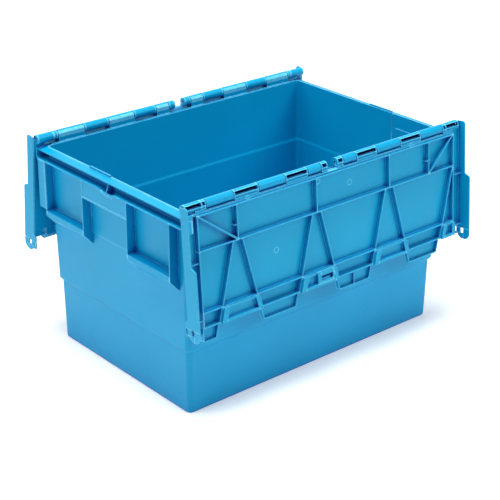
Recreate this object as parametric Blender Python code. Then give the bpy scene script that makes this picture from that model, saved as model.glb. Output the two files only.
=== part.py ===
"""Attached-lid stacking crate, 600 x 400 mm footprint, moulded polypropylene.

One crate body, two half lids hinged on the two long sides, and four hinge rods.
X runs along the long side, Y across, Z up; the origin is on the floor under the centre.
The pose is the open one: both lids are swung over and hang outside the long walls.
"""
import math

import bpy
import bmesh
from mathutils import Matrix, Vector

MM = 0.001

# ---- crate body ----
WALL = 2.8
CORNER_R = 9.0
FLOOR_UNDER = 3.2
FLOOR_TOP = 6.0
# height, outer half length, outer half width
BODY_LEVELS = [
    (0.0, 269.3, 173.4),
    (109.0, 271.3, 174.6),
    (113.0, 275.0, 178.4),
    (232.0, 276.8, 180.8),
    (236.0, 277.8, 182.3),
    (347.6, 278.8, 186.3),
]
RIM_HALF_X = 294.5
RIM_HALF_Y = 193.7
RIM_Z0, RIM_Z1 = 344.6, 347.0
LIP_Z0, LIP_Z1 = 327.2, 329.4
PLATE = 2.2

# ---- hinge ----
HINGE_Y = 193.0
HINGE_Z = 359.8
BARREL_R = 7.5
BORE_R = 2.3
ROD_R = 2.0
OPEN_ANGLE = 265.3
BODY_KNUCKLES = [(24.8, 51.3), (99.4, 151.6), (201.8, 252.9)]
LID_KNUCKLES = [(10.5, 23.8), (52.3, 98.4), (152.6, 200.8), (253.9, 293.4)]
BAND_START = 8.8
TONGUE_INSET = 0.4

# ---- lid, in its own axes: x along the hinge, s away from it, h down from its top face ----
SKIN = 2.5
RIB_H = 11.0
RIB_T = 2.2
TIP_H = 7.8
SHELF_TOP, SHELF_UNDER = 8.6, 10.6
LIP_H = 13.5
FRAME_S0, FRAME_S1 = 11.5, 14.0
RIB1_S0, RIB1_S1 = 67.0, 69.4
RIB2_S0, RIB2_S1 = 165.0, 167.4
EDGE_S = 191.0
TIP_S = 214.5
GUTTER_S = 179.0
PITCH = 162.0
APEXES = [-202.5, -40.5, 121.5, 283.5]
FRAME_L = -276.0
FRAME_R = 277.0
TAB_L = -274.6

scene = bpy.context.scene
for old in list(bpy.data.objects):
    bpy.data.objects.remove(old, do_unlink=True)

parts = bpy.data.collections.new("attached_lid_crate")
cutters = bpy.data.collections.new("cutters")
scene.collection.children.link(parts)
scene.collection.children.link(cutters)


def material(name, colour, roughness):
    mat = bpy.data.materials.new(name)
    mat.use_nodes = True
    shader = mat.node_tree.nodes["Principled BSDF"]
    shader.inputs["Base Color"].default_value = (*colour, 1.0)
    shader.inputs["Roughness"].default_value = roughness
    mat.diffuse_color = (*colour, 1.0)
    return mat


def finish(name, mesh, tool=True):
    obj = bpy.data.objects.new(name, mesh)
    (cutters if tool else parts).objects.link(obj)
    if tool:
        obj.hide_render = True
        obj.display_type = "WIRE"
    return obj


def to_object(name, bm, tool=True):
    mesh = bpy.data.meshes.new(name)
    bm.normal_update()
    bm.to_mesh(mesh)
    bm.free()
    return finish(name, mesh, tool)


def add_box(bm, x0, x1, y0, y1, z0, z1):
    size = Matrix.Diagonal(((x1 - x0) * MM, (y1 - y0) * MM, (z1 - z0) * MM, 1.0))
    place = Matrix.Translation(Vector(((x0 + x1) / 2, (y0 + y1) / 2, (z0 + z1) / 2)) * MM)
    bmesh.ops.create_cube(bm, size=1.0, matrix=place @ size)


def add_rod_x(bm, x0, x1, y, z, radius, segments=16):
    turn = Matrix.Rotation(math.radians(90), 4, "Y") @ Matrix.Rotation(math.pi / segments, 4, "Z")
    place = Matrix.Translation(Vector(((x0 + x1) / 2, y, z)) * MM)
    bmesh.ops.create_cone(
        bm, cap_ends=True, segments=segments, radius1=radius * MM, radius2=radius * MM,
        depth=(x1 - x0) * MM, matrix=place @ turn,
    )


def boxes(name, spans, tool=True):
    bm = bmesh.new()
    for span in spans:
        add_box(bm, *span)
    return to_object(name, bm, tool)


def outline_mesh(outlines, thickness):
    """A flat plate with these closed outlines, centred on its own z = 0."""
    curve = bpy.data.curves.new("outline", "CURVE")
    curve.dimensions = "2D"
    curve.fill_mode = "BOTH"
    curve.extrude = thickness * MM / 2
    for points in outlines:
        spline = curve.splines.new("POLY")
        spline.points.add(len(points) - 1)
        for point, (u, v) in zip(spline.points, points):
            point.co = (u * MM, v * MM, 0.0, 1.0)
        spline.use_cyclic_u = True
    holder = bpy.data.objects.new("outline", curve)
    scene.collection.objects.link(holder)
    depsgraph = bpy.context.evaluated_depsgraph_get()
    mesh = bpy.data.meshes.new_from_object(holder.evaluated_get(depsgraph))
    bpy.data.objects.remove(holder, do_unlink=True)
    bpy.data.curves.remove(curve)
    bm = bmesh.new()
    bm.from_mesh(mesh)
    bmesh.ops.remove_doubles(bm, verts=bm.verts, dist=0.000005)
    caps = [f for f in bm.faces if abs(f.verts[0].co.z - f.verts[-1].co.z) < 1e-7
            and abs(f.verts[1].co.z - f.verts[-1].co.z) < 1e-7]
    inner = [e for e in bm.edges if len(e.link_faces) == 2 and all(f in caps for f in e.link_faces)]
    if len(outlines) == 1:
        bmesh.ops.dissolve_edges(bm, edges=inner, use_verts=False)
    bmesh.ops.recalc_face_normals(bm, faces=bm.faces)
    bm.to_mesh(mesh)
    bm.free()
    return mesh


def plates(name, items, tool=True):
    """Each item is (outlines, axis, low, high): outlines are in the plane across the axis."""
    bm = bmesh.new()
    for outlines, axis, low, high in items:
        mesh = outline_mesh(outlines, high - low)
        if axis == "x":
            basis = Matrix(((0, 0, 1, 0), (1, 0, 0, 0), (0, 1, 0, 0), (0, 0, 0, 1)))
            shift = Vector(((low + high) / 2, 0, 0))
        elif axis == "y":
            basis = Matrix(((1, 0, 0, 0), (0, 0, -1, 0), (0, 1, 0, 0), (0, 0, 0, 1)))
            shift = Vector((0, (low + high) / 2, 0))
        else:
            basis = Matrix.Identity(4)
            shift = Vector((0, 0, (low + high) / 2))
        mesh.transform(Matrix.Translation(shift * MM) @ basis)
        bm.from_mesh(mesh)
        bpy.data.meshes.remove(mesh)
    bmesh.ops.recalc_face_normals(bm, faces=bm.faces)
    return to_object(name, bm, tool)


def boolean(target, tool, operation):
    mod = target.modifiers.new(tool.name, "BOOLEAN")
    mod.solver = "EXACT"
    mod.operation = operation
    mod.object = tool
    return mod


def rounded_stack(name, levels, radius, tool=True):
    """A rounded box that grows from level to level: (height, half length, half width)."""
    bm = bmesh.new()
    z0, hx, hy = levels[0]
    z1, hx1, hy1 = levels[1]
    add_box(bm, -hx, hx, -hy, hy, z0, z1)
    upright = [e for e in bm.edges if abs(e.verts[0].co.z - e.verts[1].co.z) > 1e-6]
    bmesh.ops.bevel(bm, geom=upright, offset=radius * MM, offset_type="OFFSET", segments=4,
                    profile=0.5, affect="EDGES")

    def grow(verts, dx, dy):
        for vert in verts:
            vert.co.x += math.copysign(dx * MM, vert.co.x)
            vert.co.y += math.copysign(dy * MM, vert.co.y)

    grow([v for v in bm.verts if v.co.z > z1 * MM - 1e-6], hx1 - hx, hy1 - hy)
    for (_, ax, ay), (bz, bx, by) in zip(levels[1:], levels[2:]):
        top = max(bm.faces, key=lambda f: f.calc_center_median().z)
        low = top.calc_center_median().z
        made = bmesh.ops.extrude_face_region(bm, geom=[top])
        if top.is_valid:
            bmesh.ops.delete(bm, geom=[top], context="FACES_ONLY")
        verts = [g for g in made["geom"] if isinstance(g, bmesh.types.BMVert)]
        for vert in verts:
            vert.co.z += bz * MM - low
        grow(verts, bx - ax, by - ay)
    bmesh.ops.recalc_face_normals(bm, faces=bm.faces)
    return to_object(name, bm, tool)


def both_ends(span):
    """The same box at the -X end and, turned half round, at the +X end."""
    x0, x1, y0, y1, z0, z1 = span
    return [(x0, x1, y0, y1, z0, z1), (-x1, -x0, -y1, -y0, z0, z1)]


def both_ends_plate(outlines, axis, low, high):
    if axis == "x":
        turned = [[(-u, v) for u, v in line] for line in outlines]
        return [(outlines, "x", low, high), (turned, "x", -high, -low)]
    turned = [[(-u, v) for u, v in line] for line in outlines]
    return [(outlines, "y", low, high), (turned, "y", -high, -low)]


# ================================================================= crate body
plastic = material("crate_blue_body", (0.012, 0.26, 0.50), 0.38)
lid_plastic_a = material("crate_blue_front_lid", (0.014, 0.27, 0.51), 0.38)
lid_plastic_b = material("crate_blue_rear_lid", (0.012, 0.25, 0.49), 0.38)

body = rounded_stack("crate_body", BODY_LEVELS, CORNER_R, tool=False)
hollow_levels = [(FLOOR_TOP, BODY_LEVELS[0][1] - WALL, BODY_LEVELS[0][2] - WALL)]
for z, hx, hy in BODY_LEVELS[1:]:
    hollow_levels.append((z, hx - WALL, hy - WALL))
last = hollow_levels[-1]
hollow_levels.append((last[0] + 30.0, last[1], last[2]))
hollow = rounded_stack("hollow", hollow_levels, CORNER_R - WALL)

# rim flange all round
rim = plates("rim_flange", [(
    [
        [(-RIM_HALF_X + 4, -RIM_HALF_Y), (RIM_HALF_X - 4, -RIM_HALF_Y), (RIM_HALF_X, -RIM_HALF_Y + 4),
         (RIM_HALF_X, RIM_HALF_Y - 4), (RIM_HALF_X - 4, RIM_HALF_Y), (-RIM_HALF_X + 4, RIM_HALF_Y),
         (-RIM_HALF_X, RIM_HALF_Y - 4), (-RIM_HALF_X, -RIM_HALF_Y + 4)],
        [(-277.4, -178.0), (-277.4, 178.0), (-271.0, 184.9), (271.0, 184.9),
         (277.4, 178.0), (277.4, -178.0), (271.0, -184.9), (-271.0, -184.9)],
    ], "z", RIM_Z0, RIM_Z1)])

# raised inner edge of the long rims, and a raised locating edge on each short rim
raised = []
for side in (-1, 1):
    y0, y1 = sorted((side * 183.9, side * 186.0))
    raised.append((-268.0, 268.0, y0, y1, 340.0, 349.6))
for span in both_ends((-279.4, -277.2, 6.0, 60.0, 341.0, 349.8)):
    raised.append(span)
raised_edges = boxes("raised_edges", raised)

# lower lip of the end channel, with a dip at the middle for the seal
DIP = 5.6
lip_low = [(-RIM_HALF_Y, LIP_Z0), (-21.0, LIP_Z0), (-19.0, LIP_Z0 - DIP), (1.0, LIP_Z0 - DIP),
           (22.0, LIP_Z0), (RIM_HALF_Y, LIP_Z0)]
lip_high = [(y, z + PLATE) for y, z in reversed(lip_low)]
channel_lips = plates("channel_lips", both_ends_plate([lip_low + lip_high], "x", -RIM_HALF_X, -277.0))

# closed ends of the channel, the corner posts and the hand-hold hoods
ends = []
for sx in (-1, 1):
    for sy in (-1, 1):
        x0, x1 = sorted((sx * RIM_HALF_X, sx * 262.0))
        y0, y1 = sorted((sy * (RIM_HALF_Y - PLATE), sy * RIM_HALF_Y))
        ends.append((x0, x1, y0, y1, 328.0, 346.0))
channel_ends = boxes("channel_ends", ends)

# side walls of the end pockets
POCKET_FLOOR = 241.2
side_wall = [(-RIM_HALF_X, 328.2), (-RIM_HALF_X, 232.5), (-276.0, 213.0), (-276.0, 328.2)]
walls = []
for low in (64.0, 169.8, -55.2, -162.2):
    walls += both_ends_plate([side_wall], "y", low, low + PLATE)
pocket_sides = plates("pocket_sides", walls)

# pocket floors: a ledge whose underside slopes back to the wall
ledge = [(-RIM_HALF_X, 232.5), (-RIM_HALF_X, POCKET_FLOOR), (-276.0, POCKET_FLOOR), (-276.0, 216.6), (-277.6, 216.6)]
ledges = []
for y0, y1 in ((65.0, 171.0), (-161.2, -54.0)):
    ledges += both_ends_plate([ledge], "y", y0, y1)
pocket_floors = plates("pocket_floors", ledges)

# hood over the finger space, and the corner post with its outer cheek
hoods = both_ends((-RIM_HALF_X + 0.1, -RIM_HALF_X + PLATE, -54.0, 65.0, 298.2, 328.4))
hoods += both_ends((-RIM_HALF_X + 0.1, -RIM_HALF_X + PLATE, 170.9, 190.0, 244.0, 328.4))
hood_plates = boxes("hood_plates", hoods)
cheeks = boxes("corner_cheeks", both_ends((-RIM_HALF_X + 1.2, -274.0, 188.1, 190.3, 244.6, 328.6)))

# seal gusset in the channel, at the middle of each end
gusset = [(-293.4, 323.4), (-284.0, 345.6), (-277.6, 345.6), (-277.6, 323.4)]
gussets = plates("seal_gussets", both_ends_plate([gusset], "y", -1.1, 1.1))

# stiffening ribs under the long rims
rib_line = [(-180.0, 345.4), (-190.4, 345.4), (-190.4, 262.0), (-181.0, 244.0), (-180.0, 244.0)]
ribs = []
for x in (-228.0, -126.0, 0.0, 126.0, 228.0):
    ribs.append(([rib_line], "x", x - 1.2, x + 1.2))
    ribs.append(([[(-y, z) for y, z in rib_line]], "x", x - 1.2, x + 1.2))
wall_ribs = plates("wall_ribs", ribs)

# hinge knuckles of the body: a web up from the rim and a barrel on it
bm_web, bm_barrel, bm_bore = bmesh.new(), bmesh.new(), bmesh.new()
for sy in (-1, 1):
    for sx in (-1, 1):
        for a, b in BODY_KNUCKLES:
            x0, x1 = sorted((sx * a, sx * b))
            y0, y1 = sorted((sy * 185.7, sy * 190.9))
            add_box(bm_web, x0, x1, y0, y1, 345.8, HINGE_Z - 1.2)
            add_rod_x(bm_barrel, x0, x1, sy * HINGE_Y, HINGE_Z, BARREL_R)
        x0, x1 = sorted((sx * 20.0, sx * 258.0))
        add_rod_x(bm_bore, x0, x1, sy * HINGE_Y, HINGE_Z, BORE_R)
webs = to_object("knuckle_webs", bm_web)
barrels = to_object("knuckle_barrels", bm_barrel)
bores = to_object("rod_bores", bm_bore)

# underside: a stiffened grid of shallow pans
pans = []
NX, NY, GAP = 4, 3, 3.0
PX, PY = 500.0, 310.0
for i in range(NX):
    for j in range(NY):
        x0 = -PX / 2 + i * PX / NX
        y0 = -PY / 2 + j * PY / NY
        pans.append((x0 + GAP / 2, x0 + PX / NX - GAP / 2, y0 + GAP / 2, y0 + PY / NY - GAP / 2, -5.0, FLOOR_UNDER))
under_pans = boxes("under_pans", pans)

# seal slot through the rim at the middle of each end
seal_slots = boxes("seal_slots", both_ends((-292.2, -288.6, -9.0, -3.0, 340.0, 352.0)))

for tool in (rim, channel_lips, channel_ends, pocket_sides, pocket_floors, hood_plates,
             cheeks, gussets, wall_ribs, webs, barrels):
    boolean(body, tool, "UNION")
boolean(body, hollow, "DIFFERENCE")
boolean(body, raised_edges, "UNION")
for tool in (bores, under_pans, seal_slots):
    boolean(body, tool, "DIFFERENCE")
body.data.materials.append(plastic)


# ================================================================= lids
def flank(apex, side, s):
    """x of a slanted rib line beside this apex."""
    return apex + side * (9.5 + 0.26 * (s - 70.0))


def lid_outline():
    line = [(-296.4, 0.0), (-296.4, GUTTER_S), (FRAME_L, GUTTER_S), (TAB_L - 1.4, TIP_S - 3), (TAB_L + 1.6, TIP_S)]
    line.append((flank(APEXES[0], -1, TIP_S) - 3, TIP_S))
    line.append((flank(APEXES[0], -1, TIP_S - 3), TIP_S - 3))
    for k, apex in enumerate(APEXES):
        line.append((flank(apex, -1, EDGE_S), EDGE_S))
        if k == len(APEXES) - 1:
            break
        line.append((flank(apex, 1, EDGE_S), EDGE_S))
        line.append((flank(apex, 1, TIP_S - 3), TIP_S - 3))
        line.append((flank(apex, 1, TIP_S) + 3, TIP_S))
        line.append((flank(APEXES[k + 1], -1, TIP_S) - 3, TIP_S))
        line.append((flank(APEXES[k + 1], -1, TIP_S - 3), TIP_S - 3))
    line += [(FRAME_R, EDGE_S), (FRAME_R, GUTTER_S), (298.6, GUTTER_S), (298.6, 0.0)]
    inner_end = LID_KNUCKLES[-1][0] + TONGUE_INSET
    line += [(inner_end, 0.0), (inner_end, BAND_START)]
    for a, b in reversed(LID_KNUCKLES[:-1]):
        a, b = a + TONGUE_INSET, b - TONGUE_INSET
        line += [(b, BAND_START), (b, 0.0), (a, 0.0), (a, BAND_START)]
    for a, b in LID_KNUCKLES[:-1]:
        a, b = a + TONGUE_INSET, b - TONGUE_INSET
        line += [(-a, BAND_START), (-a, 0.0), (-b, 0.0), (-b, BAND_START)]
    line += [(-inner_end, BAND_START), (-inner_end, 0.0)]
    return line


def h_box(x0, x1, s0, s1, h0, h1):
    return (x0, x1, s0, s1, -h1, -h0)


def h_plate(points, h0, h1):
    return ([points], "z", -h1, -h0)


def between(left, right, s0, s1, t0=RIB_T / 2, t1=RIB_T / 2):
    """Cell between two rib lines, each given as a function of s."""
    return [(left(s0) + t0, s0), (right(s0) - t1, s0), (right(s1) - t1, s1), (left(s1) + t0, s1)]


def build_lid(name, turn_z, mat):
    lid = plates(name, [h_plate(lid_outline(), 0.0, RIB_H)], tool=False)

    below = RIB_H + 3.0
    fl = lambda s: FRAME_L + 2.4
    fr = lambda s: FRAME_R - 2.4
    line = lambda apex, side: (lambda s: flank(apex, side, s))
    fixed = lambda x: (lambda s: x)
    top0, top1 = FRAME_S1, RIB1_S0
    cells = []
    # upper row: square cells, with a corner diagonal at each end
    a, b, c, d = -201.5, -39.5, 122.5, 215.5
    t = RIB_T / 2
    for x0, x1 in ((a, b), (b, c), (c, d)):
        cells.append(between(fixed(x0), fixed(x1), top0, top1))
    cells.append([(FRAME_L + 2.4 + 3.6, top0), (a - t, top0), (a - t, top1 - 3.4)])
    cells.append([(FRAME_L + 2.4, top0 + 3.2), (a - t - 4.6, top1), (FRAME_L + 2.4, top1)])
    cells.append([(d + t, top0), (FRAME_R - 2.4 - 3.6, top0), (d + t, top1 - 3.4)])
    cells.append([(FRAME_R - 2.4, top0 + 3.2), (FRAME_R - 2.4, top1), (d + t + 4.6, top1)])
    # middle row: the zigzag
    m0, m1 = RIB1_S1, RIB2_S0
    cells.append(between(fl, line(APEXES[0], -1), m0, m1, 0.0))
    for k, apex in enumerate(APEXES[:3]):
        cells.append(between(line(apex, -1), line(apex, 1), m0, m1))
        cells.append(between(line(apex, 1), line(APEXES[k + 1], -1), m0, m1))
    cells.append([(FRAME_R - 2.4, 78.5), (FRAME_R - 2.4, m1), (flank(APEXES[3], -1, m1) + t, m1)])
    # lower rows: inside the tabs
    e0, e1, e2 = RIB2_S1, EDGE_S - 2.3, TIP_S - 2.2
    tabs = [(lambda s: TAB_L, line(APEXES[0], -1))]
    tabs += [(line(APEXES[k], 1), line(APEXES[k + 1], -1)) for k in range(3)]
    for left, right in tabs:
        cells.append(between(left, right, e0, e1, RIB_T, RIB_T))
        cells.append(between(left, right, EDGE_S, e2, RIB_T + 0.6, RIB_T + 0.6))
    cell_tool = plates(name + "_cells", [h_plate(points, SKIN, below) for points in cells])

    # margins: band beside the hinge, gutters at both ends, lowered tab tips, underside of the shelves
    margins = boxes(name + "_margins", [
        h_box(-302.0, 302.0, -12.0, FRAME_S0, SKIN, below),
        h_box(FRAME_R - 0.2, 302.0, FRAME_S1, 230.0, SKIN, below),
        h_box(-302.0, FRAME_L, 36.0, 230.0, SKIN, below),
    ])
    tips = boxes(name + "_tips", [h_box(-277.0, 243.2, EDGE_S + 0.1, 230.0, TIP_H, below + 1.0)])
    shelf_cells, recesses, lips = [], [], []
    for k, apex in enumerate(APEXES):
        left = line(apex, -1)
        right = line(apex, 1) if k < 3 else (lambda s: FRAME_R + 5.0)
        inset = 0.0 if k < 3 else 7.4
        shelf_cells.append(h_plate(between(left, right, e0, e1, 0.4, 0.4 + inset), SHELF_UNDER, below + 2.0))
        recesses.append(h_plate(between(left, right, RIB2_S1 + 0.1, EDGE_S + 4.0, -0.2, -0.2), -3.0, SHELF_TOP))
        last_x = right(EDGE_S) - 1.0 if k < 3 else 271.0
        lips.append(h_box(left(EDGE_S) + 1.0, last_x, EDGE_S - 2.2, EDGE_S - 0.1, SHELF_TOP + 0.6, LIP_H))
    shelf_tool = plates(name + "_shelf_undersides", shelf_cells)
    recess_tool = plates(name + "_recesses", recesses)
    lip_tool = boxes(name + "_lips", lips)

    # end skirts: shallow beside the hinge, deep towards the free edge, with a tongue past it
    skirt = [(-5.0, 0.2), (-6.0, -12.0), (-3.0, -16.6), (86.5, -16.6), (89.5, -27.6), (196.0, -27.6),
             (202.5, -24.0), (205.5, -18.5), (205.5, -9.0), (200.0, -2.5), (181.0, 0.2)]
    skirt_tool = plates(name + "_skirts", [([skirt], "x", -297.4, -295.2), ([skirt], "x", 297.8, 300.0)])
    # small stiffeners: cross gussets, corner block web, gutter gussets, shelf ribs
    small = [
        h_box(a - 5.0, a + 5.0, 44.0, 45.6, 1.4, 6.0),
        h_box(d - 5.0, d + 5.0, 44.0, 45.6, 1.4, 6.0),
        h_box(-295.8, FRAME_L + 1.0, 85.0, 86.8, 1.4, 9.0),
        h_box(-174.4, -172.8, 166.4, 189.8, 10.0, 13.0),
        h_box(149.8, 151.4, 166.4, 189.8, 10.0, 13.0),
        h_box(268.6, 270.2, 166.4, 189.8, 10.0, 13.0),
        h_box(39.6, 41.4, 190.0, 213.4, 1.4, 7.2),
        h_box(-46.4, -44.8, 166.4, 189.8, 10.0, 13.0),
    ]
    small_tool = boxes(name + "_stiffeners", small)

    # hinge barrels, each with a window along its outer side
    bm, bore, window = bmesh.new(), bmesh.new(), bmesh.new()
    for sx in (-1, 1):
        for k0, k1 in LID_KNUCKLES:
            x0, x1 = sorted((sx * k0, sx * k1))
            add_rod_x(bm, x0, x1, 0.0, 0.0, BARREL_R)
            spans = [(k0 + 2.2, k1 - 2.2)]
            if k1 > 290.0:
                spans = [(k0 + 2.2, 260.6), (263.2, k1 - 2.2)]
            for w0, w1 in spans:
                x0, x1 = sorted((sx * w0, sx * w1))
                add_box(window, x0, x1, -5.3, 0.6, -14.0, -1.4)
        x0, x1 = sorted((sx * 5.0, sx * 292.0))
        add_rod_x(bore, x0, x1, 0.0, 0.0, BORE_R)
    barrel_tool = to_object(name + "_barrels", bm)
    bore_tool = to_object(name + "_bores", bore)
    window_tool = to_object(name + "_windows", window)

    # pockets for the latch tool and the seal holes
    holes = [
        h_box(-33.0, -18.0, 177.5, 182.5, 4.0, 16.0),
        h_box(-12.2, -10.2, 177.0, 187.0, 4.0, 16.0),
    ]
    hole_tool = boxes(name + "_latch_holes", holes)
    bm = bmesh.new()
    for s, h in ((188.5, 5.0), (188.5, 13.0)):
        add_rod_x(bm, -304.0, -290.0, s, -h, 2.0, 10)
        add_rod_x(bm, 290.0, 304.0, s, -h, 2.0, 10)
    seal_tool = to_object(name + "_seal_holes", bm)
    block_tool = boxes(name + "_block", [h_box(-293.2, -286.0, 16.0, 40.0, SKIN, 8.6)])
    block_side = boxes(name + "_block_side", [h_box(-283.8, FRAME_L, FRAME_S1, 40.0, SKIN, below)])

    for tool in (cell_tool, margins, block_side, tips, shelf_tool, recess_tool):
        boolean(lid, tool, "DIFFERENCE")
    boolean(lid, block_tool, "DIFFERENCE")
    for tool in (lip_tool, skirt_tool, small_tool, barrel_tool):
        boolean(lid, tool, "UNION")
    for tool in (bore_tool, window_tool, hole_tool, seal_tool):
        boolean(lid, tool, "DIFFERENCE")
    lid.data.materials.append(mat)

    side = -1 if turn_z == 0 else 1
    place = (Matrix.Translation(Vector((0.0, side * HINGE_Y, HINGE_Z)) * MM)
             @ Matrix.Rotation(math.radians(turn_z), 4, "Z")
             @ Matrix.Rotation(math.radians(OPEN_ANGLE), 4, "X"))
    lid.matrix_world = place
    for tool in (cell_tool, margins, block_side, tips, shelf_tool, recess_tool, block_tool, lip_tool,
                 skirt_tool, small_tool, barrel_tool, bore_tool, window_tool, hole_tool, seal_tool):
        tool.matrix_world = place
    return lid


front_lid = build_lid("front_lid", 0, lid_plastic_a)
rear_lid = build_lid("rear_lid", 180, lid_plastic_b)

# ================================================================= hinge rods
for label, sx, sy in (("front_left", -1, -1), ("front_right", 1, -1), ("rear_left", -1, 1), ("rear_right", 1, 1)):
    bm = bmesh.new()
    turn = Matrix.Rotation(math.radians(90), 4, "Y")
    bmesh.ops.create_cone(bm, cap_ends=True, segments=16, radius1=ROD_R * MM, radius2=ROD_R * MM,
                          depth=(291.4 - 12.0) * MM, matrix=turn)
    rims = [e for e in bm.edges if abs(e.verts[0].co.x - e.verts[1].co.x) < 1e-7]
    bmesh.ops.bevel(bm, geom=rims, offset=0.4 * MM, segments=1, affect="EDGES")
    rod = to_object("hinge_rod_" + label, bm, tool=False)
    rod.location = Vector((sx * (291.4 + 12.0) / 2, sy * HINGE_Y, HINGE_Z)) * MM
    rod.data.materials.append(material("rod_plastic_" + label, (0.01, 0.025, 0.06), 0.45))
bpy.context.view_layer.update()
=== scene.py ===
import math

import bmesh
import bpy
import numpy as np
from mathutils import Matrix, Vector


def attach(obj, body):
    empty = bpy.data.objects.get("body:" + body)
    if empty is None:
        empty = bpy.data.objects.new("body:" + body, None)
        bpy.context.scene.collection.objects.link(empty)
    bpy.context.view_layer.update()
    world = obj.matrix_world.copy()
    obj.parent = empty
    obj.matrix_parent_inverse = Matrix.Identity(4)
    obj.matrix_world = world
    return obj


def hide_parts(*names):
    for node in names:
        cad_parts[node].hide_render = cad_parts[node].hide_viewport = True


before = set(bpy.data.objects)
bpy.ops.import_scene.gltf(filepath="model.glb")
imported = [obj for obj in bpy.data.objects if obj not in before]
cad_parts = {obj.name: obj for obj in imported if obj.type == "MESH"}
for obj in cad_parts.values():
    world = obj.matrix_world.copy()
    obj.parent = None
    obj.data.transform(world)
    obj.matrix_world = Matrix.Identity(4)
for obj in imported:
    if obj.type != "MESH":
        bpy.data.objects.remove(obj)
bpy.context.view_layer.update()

MM = 0.001
scene = bpy.context.scene


# ============================================================ mesh tools (all in millimetres)
def area(points):
    return 0.5 * sum(a[0] * b[1] - b[0] * a[1] for a, b in zip(points, points[1:] + points[:1]))


def loft(rings, closed=False):
    bm = bmesh.new()
    vs = [[bm.verts.new(p) for p in ring] for ring in rings]
    n = len(rings[0])
    pairs = list(zip(vs, vs[1:]))
    if closed:
        pairs.append((vs[-1], vs[0]))
    for a, b in pairs:
        for i in range(n):
            j = (i + 1) % n
            bm.faces.new((a[i], a[j], b[j], b[i]))
    if not closed:
        bm.faces.new(list(reversed(vs[0])))
        bm.faces.new(vs[-1])
    return bm


def prism(points, lo, hi, r=0.45, corner=None, seg=2):
    """A bevelled solid: outline in the first two axes, thickness along the third.
    A point may carry its own corner radius."""
    usual = r * 1.15 if corner is None else corner
    base = [(p[0], p[1], p[2] if len(p) > 2 else usual) for p in points]
    if area(base) < 0:
        base.reverse()
    n = len(base)
    miter, bend = [], []
    for i in range(n):
        a, b, c = Vector(base[i - 1][:2]), Vector(base[i][:2]), Vector(base[(i + 1) % n][:2])
        e0, e1 = (b - a).normalized(), (c - b).normalized()
        n0, n1 = Vector((-e0.y, e0.x)), Vector((-e1.y, e1.x))
        miter.append((n0 + n1) / max(1 + n0.dot(n1), 0.3))
        turn = math.acos(max(-1.0, min(1.0, e0.dot(e1))))
        bend.append((turn, e0.x * e1.y - e0.y * e1.x > 0))

    def ring(d, w):
        q = [Vector(base[i][:2]) + miter[i] * d for i in range(n)]
        out = []
        for i in range(n):
            turn, convex = bend[i]
            if turn < math.radians(8):
                out.append((q[i].x, q[i].y, w))
                continue
            rr = max(0.04, base[i][2] - d) if convex else base[i][2] + d
            steps = 2 if base[i][2] < 1.5 else 6
            da, dc = q[i - 1] - q[i], q[(i + 1) % n] - q[i]
            cut = min(rr * math.tan(turn / 2), 0.46 * da.length, 0.46 * dc.length)
            p0, p1 = q[i] + da.normalized() * cut, q[i] + dc.normalized() * cut
            for k in range(steps + 1):
                t = k / steps
                v = p0 * (1 - t) ** 2 + q[i] * (2 * t * (1 - t)) + p1 * t * t
                out.append((v.x, v.y, w))
        return out

    r = min(r, 0.45 * (hi - lo))
    turns = [k / seg * math.pi / 2 for k in range(seg + 1)]
    steps = [(r * (1 - math.sin(a)), lo + r * (1 - math.cos(a))) for a in turns]
    steps += [(r * (1 - math.sin(a)), hi - r * (1 - math.cos(a))) for a in reversed(turns)]
    return loft([ring(d, w) for d, w in steps])


AXES = {
    "x": Matrix(((0, 0, 1, 0), (1, 0, 0, 0), (0, 1, 0, 0), (0, 0, 0, 1))),
    "y": Matrix(((1, 0, 0, 0), (0, 0, 1, 0), (0, 1, 0, 0), (0, 0, 0, 1))),
    "z": Matrix.Identity(4),
    # lid axes: x along the hinge, s away from it, h down from its top face, stored as (x, s, -h)
    "flat": Matrix(((1, 0, 0, 0), (0, 1, 0, 0), (0, 0, -1, 0), (0, 0, 0, 1))),
    "side": Matrix(((0, 0, 1, 0), (1, 0, 0, 0), (0, -1, 0, 0), (0, 0, 0, 1))),
    "cross": Matrix(((1, 0, 0, 0), (0, 0, 1, 0), (0, -1, 0, 0), (0, 0, 0, 1))),
}
HALF_TURN = Matrix.Rotation(math.pi, 4, "Z")


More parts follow.
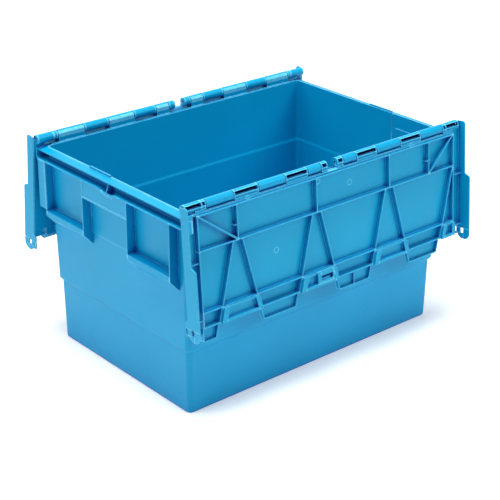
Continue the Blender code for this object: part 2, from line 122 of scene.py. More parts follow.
class Body:
    """Collects closed, bevelled solids into one moulded piece."""

    def __init__(self):
        self.bm = bmesh.new()

    def put(self, bm, matrix=None):
        if matrix is not None:
            bmesh.ops.transform(bm, matrix=matrix, verts=bm.verts)
        bmesh.ops.remove_doubles(bm, verts=bm.verts, dist=0.004)
        bmesh.ops.dissolve_degenerate(bm, edges=bm.edges, dist=0.002)
        bmesh.ops.recalc_face_normals(bm, faces=bm.faces)
        mesh = bpy.data.meshes.new("solid")
        bm.to_mesh(mesh)
        bm.free()
        self.bm.from_mesh(mesh)
        bpy.data.meshes.remove(mesh)

    def add(self, axis, points, lo, hi, r=0.45, corner=None, turned=False):
        """turned: also the copy turned half round about Z."""
        for spin in ((None, HALF_TURN) if turned else (None,)):
            m = AXES[axis] if spin is None else spin @ AXES[axis]
            self.put(prism(points, lo, hi, r, corner), m)

    def box(self, x0, x1, y0, y1, z0, z1, r=0.45, turned=False):
        self.add("z", [(x0, y0), (x1, y0), (x1, y1), (x0, y1)], z0, z1, r, None, turned)

    def piece(self, name, matrix=None, sharp=38):
        bm = self.bm.copy()
        if matrix is not None:
            bmesh.ops.transform(bm, matrix=matrix, verts=bm.verts)
        bmesh.ops.scale(bm, vec=(MM, MM, MM), verts=bm.verts)
        mesh = bpy.data.meshes.new(name)
        bm.to_mesh(mesh)
        bm.free()
        mesh.shade_smooth()
        mesh.set_sharp_from_angle(angle=math.radians(sharp))
        obj = bpy.data.objects.new(name, mesh)
        scene.collection.objects.link(obj)
        weigh = obj.modifiers.new("flat_faces", "WEIGHTED_NORMAL")
        weigh.mode = "FACE_AREA"
        weigh.keep_sharp = True
        return obj


def tube_x(x0, x1, outer, inner, bevel=0.6, n=40):
    """A turned sleeve along X, with rounded rims."""
    b = bevel
    line = [(x0, inner), (x0, outer - b), (x0 + 0.29 * b, outer - 0.29 * b), (x0 + b, outer),
            (x1 - b, outer), (x1 - 0.29 * b, outer - 0.29 * b), (x1, outer - b), (x1, inner)]
    rings = []
    for x, r in line:
        rings.append([(x, r * math.cos(2 * math.pi * k / n), r * math.sin(2 * math.pi * k / n)) for k in range(n)])
    return loft(rings, closed=True)


def disc_ring(cx, cy, radius, width, z0, z1, n=32):
    """A small raised or sunk ring on a flat face."""
    rings = []
    for r, z in ((radius - width / 2, z0), (radius - width / 2, z1 - 0.15), (radius - width / 4, z1),
                 (radius + width / 4, z1), (radius + width / 2, z1 - 0.15), (radius + width / 2, z0)):
        rings.append([(cx + r * math.cos(2 * math.pi * k / n), cy + r * math.sin(2 * math.pi * k / n), z) for k in range(n)])
    return loft(rings, closed=True)


# ============================================================ crate body
CORNER_SEG = 6
SIDE_X, SIDE_Y = 14, 8


def rrect(hx, hy, z, r):
    """Rounded rectangle, counter-clockwise, always with the same number of points."""
    pts = []
    corners = [(hx - r, -hy + r, -90), (hx - r, hy - r, 0), (-hx + r, hy - r, 90), (-hx + r, -hy + r, 180)]
    for k, (cx, cy, start) in enumerate(corners):
        arc = []
        for i in range(CORNER_SEG + 1):
            a = math.radians(start + 90 * i / CORNER_SEG)
            arc.append((cx + r * math.cos(a), cy + r * math.sin(a)))
        pts += arc
        nx = corners[(k + 1) % 4]
        a = math.radians(nx[2])
        end = (nx[0] + r * math.cos(a), nx[1] + r * math.sin(a))
        count = SIDE_Y if k in (0, 2) else SIDE_X
        for i in range(1, count):
            t = i / count
            pts.append((arc[-1][0] + (end[0] - arc[-1][0]) * t, arc[-1][1] + (end[1] - arc[-1][1]) * t))
    return [(x, y, z) for x, y in pts]


def smooth_profile(points):
    """points: (z, half length, half width, plan radius, fillet)."""
    out, n = [], len(points)
    for i, p in enumerate(points):
        b = np.array(p[:4], float)
        if i in (0, n - 1) or p[4] <= 0:
            out.append(b)
            continue
        da = np.array(points[i - 1][:4], float) - b
        dc = np.array(points[i + 1][:4], float) - b
        la, lc = np.linalg.norm(da[:3]), np.linalg.norm(dc[:3])
        cut = min(p[4], 0.46 * la, 0.46 * lc)
        p0, p1 = b + da * (cut / la), b + dc * (cut / lc)
        steps = 2 if p[4] < 1 else 4
        for k in range(steps + 1):
            t = k / steps
            out.append(p0 * (1 - t) ** 2 + b * (2 * t * (1 - t)) + p1 * t * t)
    fine = [out[0]]
    for q in out[1:]:
        last = fine[-1]
        count = max(1, int(abs(q[0] - last[0]) / 32))
        for k in range(1, count + 1):
            fine.append(last + (q - last) * (k / count))
    return fine


WALL_LINE = [
    (3.2, 250.0, 155.0, 3.0, 0), (0.0, 250.0, 155.0, 3.0, 0.5),
    (0.0, 269.3, 173.4, 9.0, 3.4), (109.0, 271.3, 174.6, 9.0, 1.6), (113.0, 275.0, 178.4, 9.0, 1.6),
    (232.0, 276.8, 180.8, 9.0, 1.4), (236.0, 277.8, 182.3, 9.0, 1.4),
    (347.6, 278.8, 186.3, 9.0, 0.6), (347.6, 276.0, 183.5, 6.4, 0.6),
    (236.6, 275.0, 179.5, 6.4, 1.4), (232.0, 274.0, 178.0, 6.4, 1.4),
    (113.6, 272.2, 175.6, 6.4, 1.6), (108.6, 268.5, 171.8, 6.4, 1.6),
    (6.0, 266.5, 170.6, 6.4, 6.0), (6.0, 240.0, 144.0, 6.0, 0),
]


def bowed(ring):
    """Moulded walls draw in a little at mid-span."""
    out = []
    for x, y, z in ring:
        k = math.sin(math.pi * min(1.0, max(0.0, (z - 12.0) / 322.0)))
        if abs(y) > 168 and z > 7:
            y -= math.copysign(0.8 * k * max(0.0, 1 - (x / 262.0) ** 2), y)
        if abs(x) > 262 and z > 7:
            x -= math.copysign(0.35 * k * max(0.0, 1 - (y / 166.0) ** 2), x)
        out.append((x, y, z))
    return out


crate = Body()
shell_rings = [bowed(rrect(q[1], q[2], q[0], q[3])) for q in smooth_profile(WALL_LINE)]
crate.put(loft(shell_rings))

# underside grid
for i in range(1, 4):
    x = -250.0 + i * 125.0
    crate.box(x - 1.5, x + 1.5, -155.6, 155.6, 0.0, 3.6, 0.5)
for j in range(1, 3):
    y = -155.0 + j * 310.0 / 3
    crate.box(-250.6, 250.6, y - 1.5, y + 1.5, 0.05, 3.6, 0.5)

# rim flange
RX, RY, RZ0, RZ1 = 291.0, 193.7, 344.6, 347.0
rim_rings = [
    rrect(RX - 0.5, RY - 0.5, RZ0, 4.5), rrect(RX - 0.1, RY - 0.1, RZ0 + 0.2, 4.9), rrect(RX, RY, RZ0 + 0.6, 5.0),
    rrect(RX, RY, RZ1 - 0.8, 5.0), rrect(RX - 0.2, RY - 0.2, RZ1 - 0.25, 4.8), rrect(RX - 0.8, RY - 0.8, RZ1, 4.2),
    rrect(277.4, 184.9, RZ1, 8.0), rrect(277.4, 184.9, RZ0, 8.0),
]
rim_rings = [[(x, y, z - 0.19 * max(0.0, abs(x) - 277.0)) for x, y, z in ring] for ring in rim_rings]
crate.put(loft(rim_rings, closed=True))

# raised edges of the rim
for side in (-1, 1):
    y0, y1 = sorted((side * 184.9, side * 186.2))
    crate.add("x", [(y0, 340.0), (y1, 340.0), (y1, 349.6), (y0, 349.6)], -268.0, 268.0, 0.6)
crate.box(-280.2, -277.35, 4.0, 60.0, 341.0, 350.6, 0.7, turned=True)

# end channels: lip with a dip at the seal, turned up into closed round ends
lip = [(-193.6, 346.0, 0.4), (-193.6, 327.2, 7.0), (-21.0, 327.2, 2.0), (-18.6, 321.6, 2.0), (1.0, 321.6, 2.0), (22.0, 327.2, 2.5),
       (193.6, 327.2, 7.0), (193.6, 346.0, 0.4), (191.4, 346.0, 0.4), (191.4, 329.4, 5.0), (22.0, 329.4, 2.0), (1.0, 323.8, 2.0),
       (-18.6, 323.8, 2.0), (-21.0, 329.4, 1.5), (-191.4, 329.4, 5.0), (-191.4, 346.0, 0.4)]
crate.add("x", lip, -294.5, -277.5, 0.5, 0.5, turned=True)
for sx in (-1, 1):
    for sy in (-1, 1):
        x0, x1 = sorted((sx * 277.5, sx * 262.0))
        y0, y1 = sorted((sy * 191.5, sy * 193.5))
        crate.box(x0, x1, y0, y1, 329.0, 345.2, 0.5)
gusset = [(-293.4, 323.4), (-285.0, 343.6), (-277.5, 344.8), (-277.5, 323.4)]
crate.add("y", gusset, -1.1, 1.1, 0.35, turned=True)

# end pockets: side walls and a sloping ledge
side_wall = [(-294.4, 328.2), (-294.4, 232.6, 1.0), (-276.4, 213.2), (-277.2, 238.0), (-277.5, 328.2)]
for low in (64.0, 169.8, -55.2, -162.2):
    crate.add("y", side_wall, low, low + 2.2, 0.5, turned=True)
ledge = [(-294.5, 232.5, 1.0), (-294.5, 241.2, 1.0), (-276.4, 241.2), (-276.4, 214.4)]
for y0, y1 in ((65.0, 171.0), (-161.2, -54.0)):
    crate.add("y", ledge, y0, y1, 0.6, turned=True)

# finger-grip hood and the corner posts
crate.add("x", [(-54.2, 298.2, 2.0), (65.2, 298.2, 2.0), (65.2, 326.6), (-54.2, 326.6)], -293.5, -291.4, 0.6, 0.6, turned=True)
crate.add("x", [(-54.2, 298.2, 1.2), (65.2, 298.2, 1.2), (65.2, 301.4), (-54.2, 301.4)], -294.4, -291.6, 0.7, 0.6, turned=True)
crate.add("x", [(170.6, 244.0, 1.5), (190.0, 244.0, 1.5), (190.0, 328.4), (170.6, 328.4)], -294.4, -292.3, 0.6, 0.6, turned=True)
crate.box(-293.4, -274.0, 188.0, 190.2, 244.6, 328.6, 0.5, turned=True)

# shallow panel inside each end
crate.add("x", [(72.0, 236.0, 2.0), (163.0, 236.0, 2.0), (163.0, 323.0, 2.0), (72.0, 323.0, 2.0)], -276.9, -273.9, 0.5, 0.6, turned=True)
crate.add("x", [(62.4, 262.0, 0.4), (64.4, 262.0, 0.4), (64.4, 346.6, 0.4), (62.4, 346.6, 0.4)], -277.2, -274.7, 0.4, 0.4, turned=True)

# ribs under the long rims
rib = [(-184.9, 345.4), (-190.4, 345.4), (-190.4, 262.0, 3.0), (-181.9, 244.0), (-181.0, 244.0)]
for x in (-228.0, -126.0, 0.0, 126.0, 228.0):
    crate.add("x", rib, x - 1.2, x + 1.2, 0.4)
    crate.add("x", [(-p[0], *p[1:]) for p in rib], x - 1.2, x + 1.2, 0.4)

# hinge knuckles of the body
HY, HZ, BR = 193.0, 359.8, 7.44
BODY_KNUCKLES = [(24.8, 51.3), (99.4, 151.6), (201.8, 252.9)]
LID_KNUCKLES = [(10.5, 23.8), (52.3, 98.4), (152.6, 200.8), (253.9, 293.4)]
for sy in (-1, 1):
    for sx in (-1, 1):
        for a, b in BODY_KNUCKLES:
            x0, x1 = sorted((sx * a, sx * b))
            crate.put(tube_x(x0, x1, BR, 2.35, 0.7), Matrix.Translation((0, sy * HY, HZ)))
            web = [(sy * 185.6, 345.6), (sy * 190.4, 345.6), (sy * 190.8, 353.4), (sy * 192.2, 365.3), (sy * 188.6, 365.3, 1.6), (sy * 185.6, 362.6, 2.0)]
            crate.add("x", web, x0 + 0.05, x1 - 0.05, 0.5)
            # small feet that brace each web on the rim
            for xm in (x0 + 0.28 * (x1 - x0), x0 + 0.72 * (x1 - x0)):
                foot = [(sy * 185.0, 346.2), (sy * 193.4, 346.2), (sy * 191.6, 352.6), (sy * 187.0, 352.6)]
                crate.add("x", foot, xm - 0.8, xm + 0.8, 0.3)

# ============================================================ lid
SKIN, RIB_H, RIB_T, TIP_H = 2.5, 11.0, 2.2, 7.8
TIP_S, EDGE_S, NOTCH_S, GUTTER_S = 214.5, 191.0, 167.4, 179.0
APEXES = [-202.5, -40.5, 121.5, 283.5]
FRAME_L, FRAME_R, TAB_L = -276.0, 277.0, -274.6


def flank(apex, side, s):
    return apex + side * (9.5 + 0.26 * (s - 70.0))


lid = Body()

# skin, with the notches between the tabs open
line = [(-296.0, 0.4), (-296.0, 203.0, 1.0), (FRAME_L + 0.4, 203.0), (TAB_L - 0.4, TIP_S, 3.5)]
for k, apex in enumerate(APEXES):
    if k == 3:
        line += [(flank(apex, -1, TIP_S) - 2, TIP_S, 3.5), (flank(apex, -1, NOTCH_S - 0.6), NOTCH_S - 0.6, 0.2),
                 (281.0, NOTCH_S - 0.6, 0.2), (281.0, GUTTER_S, 0.2)]
        break
    line += [(flank(apex, -1, TIP_S), TIP_S, 3.5), (flank(apex, -1, NOTCH_S - 0.6), NOTCH_S - 0.6, 0.2),
             (flank(apex, 1, NOTCH_S - 0.6), NOTCH_S - 0.6, 0.2), (flank(apex, 1, TIP_S), TIP_S, 3.5)]
line += [(298.6, GUTTER_S, 1.0), (298.6, 0.4)]
end_x = LID_KNUCKLES[-1][0] + 0.4
line += [(end_x, 0.4), (end_x, 8.8)]
for a, b in reversed(LID_KNUCKLES[:-1]):
    line += [(b - 0.4, 8.8), (b - 0.4, 0.4), (a + 0.4, 0.4), (a + 0.4, 8.8)]
for a, b in LID_KNUCKLES[:-1]:
    line += [(-a - 0.4, 8.8), (-a - 0.4, 0.4), (-b + 0.4, 0.4), (-b + 0.4, 8.8)]
line += [(-end_x, 8.8), (-end_x, 0.4)]
lid.add("flat", line, 0.0, SKIN, 0.45, 0.5)


def flat(points, h0, h1, r=0.45, corner=None):
    lid.add("flat", points, h0, h1, r, corner)


def bar(x0, x1, s0, s1, h0, h1, r=0.45, corner=None):
    flat([(x0, s0), (x1, s0), (x1, s1), (x0, s1)], h0, h1, r, corner)


def slant(fx, s0, s1, t0, t1, h0, h1, r=0.45):
    """A rib along x = fx(s), from t0 to t1 across."""
    flat([(fx(s0) + t0, s0), (fx(s0) + t1, s0), (fx(s1) + t1, s1), (fx(s1) + t0, s1)], h0, h1, r)


LOW = 1.2
T = RIB_T / 2
# frame and the two long ribs
bar(FRAME_L, FRAME_R, 11.5, 14.0, LOW, RIB_H, 0.6)
bar(FRAME_L, FRAME_R, 67.0, 69.2, LOW, RIB_H)
bar(FRAME_L, FRAME_R, 165.1, 167.4, LOW, RIB_H)
bar(FRAME_L, FRAME_L + 2.4, 11.6, 190.5, LOW, RIB_H)
bar(FRAME_R - 2.4, FRAME_R, 11.6, 167.3, LOW, RIB_H)
# ridge beside the hinge, turning down into the corner block on the left
flat([(-283.6, 30.0, 0.5), (-283.6, 9.0, 6.0), (277.0, 9.0, 0.5), (277.0, 10.6, 0.5), (-281.9, 10.6, 4.4), (-281.9, 30.0, 0.5)], LOW, 8.3, 0.45, 0.5)
lid.add("side", [(7.85, 0.3, 0.3), (7.85, 4.0, 0.3), (10.2, 7.3, 0.4), (12.4, 7.3, 0.3), (12.4, 0.3, 0.3)], -283.0, 276.6, 0.3)
for a, b in LID_KNUCKLES:
    for sx in (-1, 1):
        x0, x1 = sorted((sx * (a + 0.5), sx * (min(b, 276.0) - 0.5)))
        flat([(x0, 4.6, 0.3), (x1, 4.6, 0.3), (x1, 9.0, 0.3), (x0, 9.0, 0.3)], 0.3, 7.25, 0.35, 0.3)
# upper row
A, B, C, D = -199.9, -38.9, 122.5, 215.5
for x in (A, B, C, D):
    bar(x - T, x + T, 13.0, 68.0, LOW, RIB_H)
flat([(FRAME_L + 0.6, 12.9), (FRAME_L + 3.4, 11.9), (A + 1.0, 66.4), (A - 1.6, 68.6)], LOW, RIB_H, 0.45)
flat([(FRAME_R - 0.6, 12.9), (FRAME_R - 3.4, 11.9), (D - 1.0, 66.4), (D + 1.6, 68.6)], LOW, RIB_H, 0.45)
for x in (A, D):
    bar(x - 5.6, x + 4.4, 43.9, 45.5, LOW, 9.4, 0.35)
# zigzag
for k, apex in enumerate(APEXES):
    shift = 1.4 if k == 0 else 0.6 if k == 1 else 0.0
    for side in (-1, 1):
        if k == 3 and side == 1:
            continue
        slant(lambda s: flank(apex, side, s) + shift * (1 - (s - 68) / 98), 68.0, 166.5, -T, T, LOW, RIB_H)
flat([(FRAME_R - 3.4, 68.4), (FRAME_R - 0.6, 68.4), (FRAME_R - 0.6, 80.0), (FRAME_R - 3.4, 75.0)], LOW, RIB_H, 0.4)
# tabs: a wall all round, lower past the cross rib
tabs = [(lambda s: TAB_L - 1.0, lambda s: flank(APEXES[0], -1, s))]
for k in range(3):
    tabs.append(((lambda s, k=k: flank(APEXES[k], 1, s)), (lambda s, k=k: flank(APEXES[k + 1], -1, s))))
for left, right in tabs:
    e0, e1, e2 = 166.4, EDGE_S, TIP_S
    slant(left, e0, e1, 0.0, RIB_T, 1.15, RIB_H)
    slant(right, e0, e1, -RIB_T, 0.0, 1.15, RIB_H)
    bar(left(190) + 0.4, right(190) - 0.4, 188.7, 190.95, LOW, RIB_H)
    i = RIB_T + 0.1
    flat([(left(189.4), 189.4, 0.3), (left(e2), e2, 4.2), (right(e2), e2, 4.2), (right(189.4), 189.4, 0.3),
          (right(189.4) - i, 189.4, 0.3), (right(e2 - i) - i, e2 - i, 2.6), (left(e2 - i) + i, e2 - i, 2.6), (left(189.4) + i, 189.4, 0.3)],
         1.17, TIP_H, 0.45, 0.45)

# shelves in the notches: a thin pan with a raised border, and a lip along its free edge
PAN_TOP, PAN_LOW, RAISE = 8.3, 9.5, 16.0
for k, apex in enumerate(APEXES):
    L = lambda s, apex=apex: flank(apex, -1, s) - 0.2
    R = (lambda s, apex=apex: flank(apex, 1, s) + 0.2) if k < 3 else (lambda s: 275.0)
    flat([(L(166.9), 166.9), (R(166.9), 166.9), (R(EDGE_S), EDGE_S), (L(EDGE_S), EDGE_S)], PAN_TOP, PAN_LOW, 0.4)
    lm = 10.4 if k < 3 else 6.0
    rm = 8.2 if k < 3 else 6.4
    # left and right borders
    flat([(L(167.0), 167.0), (L(167.0) + lm, 167.0), (L(EDGE_S) + lm, EDGE_S), (L(EDGE_S), EDGE_S, 1.4)], PAN_TOP + 0.1, RAISE, 0.5)
    flat([(R(167.0) - rm, 167.0), (R(167.0), 167.0), (R(EDGE_S), EDGE_S, 1.4), (R(EDGE_S) - rm, EDGE_S)], PAN_TOP + 0.1, RAISE, 0.5)
    # upper and lower borders
    flat([(L(167.0) + 0.3, 167.05), (R(167.0) - 0.3, 167.05), (R(170.6) - 0.3, 170.6), (L(170.6) + 0.3, 170.6)], PAN_TOP + 0.15, 12.9, 0.5)
    flat([(L(185.9) + lm - 0.7, 185.9), (R(185.9) - rm + 0.7, 185.9), (R(190.9) - rm + 0.7, 190.9), (L(190.9) + lm - 0.7, 190.9)], PAN_TOP + 0.15, RAISE - 0.02, 0.7)
    if k == 1:
        # latch block with a sunk window and two slots
        bar(-46.0, -39.4, 167.2, 186.6, PAN_TOP + 0.2, RAISE - 0.03, 0.5)
        bar(-40.0, -12.2, 167.25, 173.6, PAN_TOP + 0.2, RAISE - 0.06, 0.5)
        bar(-14.0, -10.4, 173.0, 186.6, PAN_TOP + 0.2, RAISE - 0.04, 0.5)
        bar(-40.0, -13.4, 182.2, 186.6, PAN_TOP + 0.2, RAISE - 0.05, 0.5)
        bar(-40.2, -19.0, 178.4, 182.6, PAN_TOP + 0.2, 14.0, 0.6)

# end skirts
skirt = [(-5.0, -0.4, 1.0), (-6.0, 12.0, 3.0), (-3.0, 16.6, 3.0), (85.5, 16.6, 4.0), (89.0, 27.6, 5.0), (186.0, 27.6, 0.2),
         (186.0, -6.6, 0.2), (177.0, -6.6, 3.0), (172.0, -0.2, 3.0)]
foot_parts = (
    [(185.4, 14.2, 0.3), (185.4, 27.6, 0.3), (196.0, 27.6, 4.0), (202.5, 24.0, 4.0), (205.5, 18.5, 4.0), (205.5, 14.2, 0.3)],
    [(185.4, -1.6, 0.3), (185.4, 7.6, 0.3), (197.0, 7.6, 0.3), (197.0, -1.6, 0.3)],
    [(195.2, 0.4, 0.8), (195.2, 15.0, 0.3), (205.5, 15.0, 0.3), (205.5, 9.0, 4.0), (200.6, 2.0, 3.0)],
    [(185.4, -6.6, 0.3), (185.4, -4.9, 0.3), (197.4, -4.9, 0.3), (197.4, -6.6, 0.8)],
    [(195.8, -6.6, 0.3), (195.8, -0.4, 0.3), (199.2, -1.2, 1.6), (199.8, -4.6, 1.8), (198.2, -6.6, 1.2)],
)
for x0, x1 in ((-297.4, -295.1), (297.75, 300.0)):
    lid.add("side", skirt, x0, x1, 0.6, 1.0)
    for part in foot_parts:
        lid.add("side", part, x0 + 0.02, x1 - 0.02, 0.5, 0.6)
lid.add("side", [(184.0, -6.2), (198.0, -6.2), (198.0, 12.0), (184.0, 12.0)], -290.4, -289.0, 0.4)
lid.add("side", [(183.0, -6.2), (185.2, -6.2), (185.2, 12.0), (183.0, 12.0)], -295.6, -289.2, 0.4)

# corner blocks and small stiffeners in the gutters
bar(-296.2, -283.6, 7.6, 16.0, LOW, RIB_H, 0.6, 0.8)
bar(-286.0, -283.6, 15.0, 36.0, LOW, RIB_H, 0.5)
bar(-296.2, -284.0, 15.4, 36.0, 8.7, RIB_H - 0.02, 0.5, 0.8)
bar(-295.6, FRAME_L + 1.0, 85.0, 86.8, LOW, 9.0, 0.4)
bar(FRAME_R - 1.0, 298.2, 85.0, 86.8, LOW, 9.0, 0.4)
bar(FRAME_R - 1.0, 298.2, 176.6, 178.9, LOW, 9.0, 0.4)
bar(-295.6, FRAME_L + 1.0, 176.6, 178.9, LOW, 9.0, 0.4)
bar(39.6, 41.4, 190.0, 213.0, LOW, 7.2, 0.4)
# ejector rings and the round gate seats beside the hinge
for x in (-176.5, 176.5):
    lid.add("flat", [(x + 5.6 * math.cos(a * math.pi / 9), 9.4 + 4.2 * math.sin(a * math.pi / 9), 0.3) for a in range(18)], 6.0, 8.9, 0.5, 0.3)
for x, s, r in ((-28.0, 22.0, 4.0), (40.0, 40.0, 4.5), (-120.0, 110.0, 4.5)):
    lid.put(disc_ring(x, s, r, 0.6, SKIN - 0.4, SKIN + 0.07), AXES["flat"])

# hinge sleeves with their windows
C_IN = 5.7


def c_section(outer):
    """Sleeve section in (s, h), open towards the outside."""
    pts = []
    a0, a1 = math.asin(0.6 / outer), math.asin(-5.3 / outer)
    # angles measured from +h towards +s
    n = 36
    for i in range(n + 1):
        a = a0 + (2 * math.pi + a1 - a0) * i / n
        pts.append((outer * math.sin(a), outer * math.cos(a), 0))
    b1 = -math.asin(5.3 / C_IN)
    b0 = math.asin(0.6 / C_IN)
    for i in range(15):
        b = (2 * math.pi + b1) + (b0 - (2 * math.pi + b1)) * i / 14
        pts.append((C_IN * math.sin(b), C_IN * math.cos(b), 0))
    return pts


for sx in (-1, 1):
    for k0, k1 in LID_KNUCKLES:
        spans = [(k0 + 2.2, k1 - 2.2)]
        if k1 > 290:
            spans = [(k0 + 2.2, 260.6), (263.2, k1 - 2.2)]
        edges = [k0] + [v for span in spans for v in span] + [k1]
        for a, b in zip(edges[0::2], edges[1::2]):
            x0, x1 = sorted((sx * a, sx * b))
            lid.put(tube_x(x0, x1, BR, 2.3, 0.55))
        for a, b in spans:
            x0, x1 = sorted((sx * (a - 0.8), sx * (b + 0.8)))
            lid.add("side", c_section(BR - 0.12), x0, x1, 0.12, 0.2)

# ============================================================ place the pieces
def lid_place(turn, side):
    return (Matrix.Translation((0.0, side * HY, HZ)) @ Matrix.Rotation(math.radians(turn), 4, "Z")
            @ Matrix.Rotation(math.radians(265.3), 4, "X"))


crate_piece = crate.piece("crate_shell")
front_piece = lid.piece("front_lid_shell", lid_place(0, -1))
rear_piece = lid.piece("rear_lid_shell", lid_place(180, 1))

# ============================================================ finish of the plastic
def plastic(name, base, shade_colour, highlight_colour, rough, gloss=0.2):
    mat = bpy.data.materials.new(name)
    mat.use_nodes = True
    nt = mat.node_tree
    nodes, links = nt.nodes, nt.links
    nodes.clear()
    out = nodes.new("ShaderNodeOutputMaterial")
    bsdf = nodes.new("ShaderNodeBsdfPrincipled")
    bsdf.inputs["IOR"].default_value = 1.49
    bsdf.inputs["Specular IOR Level"].default_value = gloss
    bsdf.inputs["Metallic"].default_value = 0.0
    links.new(bsdf.outputs["BSDF"], out.inputs["Surface"])
    coord = nodes.new("ShaderNodeTexCoord")

    def noise_node(scale, detail, rough_=0.5):
        n = nodes.new("ShaderNodeTexNoise")
        n.inputs["Scale"].default_value = scale
        n.inputs["Detail"].default_value = detail
        n.inputs["Roughness"].default_value = rough_
        links.new(coord.outputs["Object"], n.inputs["Vector"])
        return n

    def ranged(value, a, b, c, d):
        m = nodes.new("ShaderNodeMapRange")
        m.inputs["From Min"].default_value = a
        m.inputs["From Max"].default_value = b
        m.inputs["To Min"].default_value = c
        m.inputs["To Max"].default_value = d
        links.new(value, m.inputs["Value"])
        return m.outputs["Result"]

    def mixed(fac, a, b):
        m = nodes.new("ShaderNodeMix")
        m.data_type = "RGBA"
        for socket, value in ((m.inputs[0], fac), (m.inputs[6], a), (m.inputs[7], b)):
            if isinstance(value, tuple):
                socket.default_value = (*value, 1.0)
            else:
                links.new(value, socket)
        return m.outputs[2]

    def maths(kind, a, b):
        m = nodes.new("ShaderNodeMath")
        m.operation = kind
        for socket, value in ((m.inputs[0], a), (m.inputs[1], b)):
            if isinstance(value, (int, float)):
                socket.default_value = value
            else:
                links.new(value, socket)
        return m.outputs["Value"]

    # painted shade: multiplies the colour towards a deeper blue where a long-range AO finds deep hollows, such as
    # low inside the crate
    def paint_deep_shade(node, colour):
        m = nodes.new("ShaderNodeMix")
        m.data_type = "RGBA"
        m.blend_type = "MULTIPLY"
        links.new(ranged(node.outputs["AO"], 0.20, 0.62, 1.0, 0.0), m.inputs[0])
        links.new(colour, m.inputs[6])
        m.inputs[7].default_value = (1.0, 0.74, 0.90, 1.0)
        return m.outputs[2]

    # convex-edge mask from a short inward AO; these edges get a painted highlight
    rim = nodes.new("ShaderNodeAmbientOcclusion")
    rim.samples = 6
    rim.inside = True
    rim.only_local = True
    rim.inputs["Distance"].default_value = 0.0010
    edge = ranged(rim.outputs["AO"], 0.90, 0.60, 0.0, 1.0)

    # pigment drift from the moulding, then painted shade in creases and deep hollows, then a painted highlight on
    # convex edges
    drift = noise_node(5.0, 3.0)
    tone = mixed(ranged(drift.outputs["Fac"], 0.35, 0.65, 0.0, 1.0), base, tuple(min(1.0, c * 1.07) for c in base))
    # painted shade: the deep blue colour mixed in where a 14 mm AO finds creases, rib sides and pockets
    crevice_ao = nodes.new("ShaderNodeAmbientOcclusion")
    crevice_ao.samples = 4
    crevice_ao.inputs["Distance"].default_value = 0.014
    crevice_unshaded = ranged(crevice_ao.outputs["AO"], 0.26, 0.68, 0.0, 1.0)
    tone = mixed(crevice_unshaded, shade_colour, tone)
    # painted shade in deep hollows, from a 0.26 m AO
    deep_shade_ao = nodes.new("ShaderNodeAmbientOcclusion")
    deep_shade_ao.samples = 4
    deep_shade_ao.inputs["Distance"].default_value = 0.26
    tone = paint_deep_shade(deep_shade_ao, tone)
    # painted highlight: the light colour on convex edges, broken up by noise
    highlight_breakup = noise_node(160.0, 5.0, 0.62)
    edge_highlight = maths("MULTIPLY", edge, ranged(highlight_breakup.outputs["Fac"], 0.30, 0.62, 0.45, 0.95))
    tone = mixed(edge_highlight, tone, highlight_colour)
    links.new(tone, bsdf.inputs["Base Color"])

    smudge = noise_node(26.0, 4.0, 0.6)
    r = ranged(smudge.outputs["Fac"], 0.3, 0.7, rough - 0.05, rough + 0.06)
    r = maths("ADD", r, maths("MULTIPLY", edge_highlight, 0.05))
    links.new(r, bsdf.inputs["Roughness"])

    grain = noise_node(2600.0, 2.0, 0.6)
    flow = noise_node(48.0, 2.0, 0.5)
    b1 = nodes.new("ShaderNodeBump")
    b1.inputs["Strength"].default_value = 0.35
    b1.inputs["Distance"].default_value = 0.00003
    links.new(grain.outputs["Fac"], b1.inputs["Height"])
    b2 = nodes.new("ShaderNodeBump")
    b2.inputs["Strength"].default_value = 0.25
    b2.inputs["Distance"].default_value = 0.0004
    links.new(flow.outputs["Fac"], b2.inputs["Height"])
    links.new(b1.outputs["Normal"], b2.inputs["Normal"])
    links.new(b2.outputs["Normal"], bsdf.inputs["Normal"])
    return mat


BASE = (0.0, 0.296, 0.545)
# colour of the painted shade in creases and recesses
CREVICE_SHADE = (0.0, 0.085, 0.460)
# colour of the painted edge highlight
EDGE_HIGHLIGHT = (0.150, 0.600, 0.820)
body_mat = plastic("crate_plastic", BASE, CREVICE_SHADE, EDGE_HIGHLIGHT, 0.38)
lid_mat = plastic("lid_plastic", (0.0, 0.305, 0.540), CREVICE_SHADE, EDGE_HIGHLIGHT, 0.37)
# the rods get the same painted crevice shade and painted edge highlight, in dark navy colours
rod_mat = plastic("rod_plastic", (0.001, 0.012, 0.055), (0.001, 0.006, 0.030), (0.001, 0.020, 0.070), 0.8, 0.04)

for obj, mat, body, node, slot_name in (
    (crate_piece, body_mat, "crate", "crate_body", "body_plastic"),
    (front_piece, lid_mat, "front_lid", "front_lid", "lid_plastic"),
    (rear_piece, lid_mat, "rear_lid", "rear_lid", "lid_plastic"),
):
    obj.data.materials.append(mat)
    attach(obj, body)
    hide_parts(node)
for name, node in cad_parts.items():
    if name.startswith("hinge_rod"):
        node.data.materials.clear()
        node.data.materials.append(rod_mat)

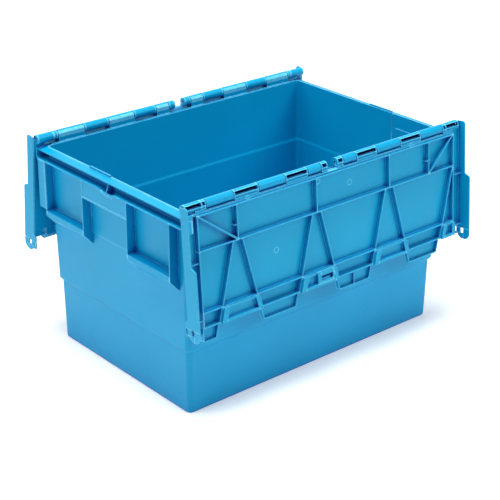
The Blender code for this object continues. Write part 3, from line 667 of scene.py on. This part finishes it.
# ============================================================ floor, light and camera
def stage_material():
    mat = bpy.data.materials.new("studio_floor")
    mat.use_nodes = True
    nodes, links = mat.node_tree.nodes, mat.node_tree.links
    bsdf = nodes["Principled BSDF"]
    bsdf.inputs["Roughness"].default_value = 0.9
    bsdf.inputs["Specular IOR Level"].default_value = 0.1
    bsdf.inputs["Emission Color"].default_value = (0.92, 0.96, 1.0, 1.0)
    bsdf.inputs["Emission Strength"].default_value = 0.30
    coord = nodes.new("ShaderNodeTexCoord")
    n = nodes.new("ShaderNodeTexNoise")
    n.inputs["Scale"].default_value = 1.3
    n.inputs["Detail"].default_value = 2.0
    links.new(coord.outputs["Object"], n.inputs["Vector"])
    mix = nodes.new("ShaderNodeMix")
    mix.data_type = "RGBA"
    mix.inputs[6].default_value = (0.86, 0.865, 0.87, 1.0)
    mix.inputs[7].default_value = (0.90, 0.90, 0.90, 1.0)
    links.new(n.outputs["Fac"], mix.inputs[0])
    links.new(mix.outputs[2], bsdf.inputs["Base Color"])
    return mat


bm = bmesh.new()
bmesh.ops.create_grid(bm, x_segments=24, y_segments=24, size=9.0)
floor_mesh = bpy.data.meshes.new("studio_floor")
bm.to_mesh(floor_mesh)
bm.free()
floor = bpy.data.objects.new("studio_floor", floor_mesh)
floor.location = (0.0, 0.0, -0.0002)
floor_mesh.materials.append(stage_material())
scene.collection.objects.link(floor)


def softbox(name, at, aim, sx, sy, power, colour=(1.0, 1.0, 1.0)):
    data = bpy.data.lights.new(name, "AREA")
    data.shape = "RECTANGLE"
    data.size, data.size_y = sx, sy
    data.energy = power
    data.color = colour
    obj = bpy.data.objects.new(name, data)
    obj.location = at
    obj.rotation_mode = "QUATERNION"
    obj.rotation_quaternion = (Vector(aim) - Vector(at)).to_track_quat("-Z", "Y")
    scene.collection.objects.link(obj)
    return obj


softbox("left_softbox", (-3.1, 0.9, 1.9), (0.0, 0.0, 0.2), 2.0, 1.6, 39.0, (1.0, 0.99, 0.95))
softbox("front_softbox", (1.5, -2.8, 2.5), (0.0, 0.0, 0.15), 2.0, 1.5, 60.0, (1.0, 0.99, 0.95))
softbox("top_softbox", (-0.3, -0.1, 3.1), (0.0, 0.0, 0.0), 1.6, 1.6, 122.0, (1.0, 0.99, 0.96))
softbox("back_softbox", (2.1, 2.5, 1.8), (0.0, 0.0, 0.3), 2.6, 1.3, 28.0)

world = bpy.data.worlds.new("studio")
scene.world = world
world.use_nodes = True
world.node_tree.nodes["Background"].inputs["Color"].default_value = (0.55, 0.76, 1.0, 1.0)
world.node_tree.nodes["Background"].inputs["Strength"].default_value = 0.14

scene.view_settings.view_transform = "Standard"
scene.view_settings.look = "None"

AZ, EL, ROLL = math.radians(-40.81), math.radians(24.54), math.radians(0.37)
back = Vector((math.sin(AZ) * math.cos(EL), -math.cos(AZ) * math.cos(EL), math.sin(EL)))
right0 = Vector((math.cos(AZ), math.sin(AZ), 0.0))
up0 = back.cross(right0)
right = right0 * math.cos(ROLL) + up0 * math.sin(ROLL)
up = -right0 * math.sin(ROLL) + up0 * math.cos(ROLL)
loc = Vector((-1.4325, -1.6644, 1.1452))
cam_data = bpy.data.cameras.new("camera")
cam_data.sensor_width = 36.0
cam_data.lens = 1400.17 / 500 * 36
cam_data.shift_x, cam_data.shift_y = -0.8 / 500, 0.6 / 500
cam = bpy.data.objects.new("camera", cam_data)
cam.matrix_world = Matrix(((right.x, up.x, back.x, loc.x), (right.y, up.y, back.y, loc.y), (right.z, up.z, back.z, loc.z), (0, 0, 0, 1)))
scene.collection.objects.link(cam)
scene.camera = cam
